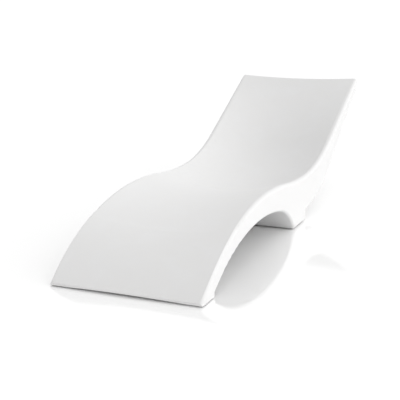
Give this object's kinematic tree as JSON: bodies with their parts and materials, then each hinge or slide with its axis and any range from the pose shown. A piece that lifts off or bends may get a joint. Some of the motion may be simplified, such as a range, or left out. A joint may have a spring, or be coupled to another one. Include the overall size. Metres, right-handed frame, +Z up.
{
  "type": "outdoor chaise longue",
  "caption": "White hollow moulded chaise longue with a curved leg, knee hump, seat dip and fixed raised back over an open arch.",
  "frame": {"origin": "on the floor under the middle of the length and the width", "axes": "+Y from the foot edge to the head, +X to the user's right as they lie, +Z up"},
  "size_m": [0.65, 2.01, 0.54],
  "materials": {
    "shell": "satin moulded plastic",
    "pad": "matte rubber",
    "brass": "turned",
    "steel": "stainless",
    "collar": "moulded nylon",
    "plug": "moulded nylon",
    "seal": "matte rubber"
  },
  "bodies": {
    "shell": {"moulded_shell": "shell", "front_left_foot_pad": "pad", "front_right_foot_pad": "pad", "rear_left_foot_pad": "pad", "rear_right_foot_pad": "pad", "foot_pad_inserts": "brass", "foot_pad_screws": "steel", "foot_pad_washers": "steel", "fill_port_insert": "collar", "drain_port_insert": "collar"},
    "fill_plug_seal": {"fill_plug_seal": "seal"},
    "fill_plug": {"fill_plug": "plug"},
    "drain_plug_seal": {"drain_plug_seal": "seal"},
    "drain_plug": {"drain_plug": "plug"}
  },
  "joints": [
    {"name": "fill_plug_lift", "type": "slide", "parent": "shell", "child": "fill_plug_seal", "axis": [0, 0.5436, -0.8393], "range_m": [0, 0.0181]},
    {"name": "fill_plug_turn", "type": "hinge", "parent": "fill_plug_seal", "child": "fill_plug", "pos_m": [0, 0.86231, 0.39359], "axis": [0, 0.5436, -0.8393], "range_deg": [0, 1296]},
    {"name": "drain_plug_lift", "type": "slide", "parent": "shell", "child": "drain_plug_seal", "axis": [0, 1, 0], "range_m": [0, 0.0136]},
    {"name": "drain_plug_turn", "type": "hinge", "parent": "drain_plug_seal", "child": "drain_plug", "pos_m": [0, 0.157, 0.028], "axis": [0, 1, 0], "range_deg": [0, 1620]}
  ],
  "couplings": [
    {"joint": "fill_plug_lift", "follows": "fill_plug_turn", "m_per_rad": 0.00079577},
    {"joint": "drain_plug_lift", "follows": "drain_plug_turn", "m_per_rad": 0.00047746}
  ]
}
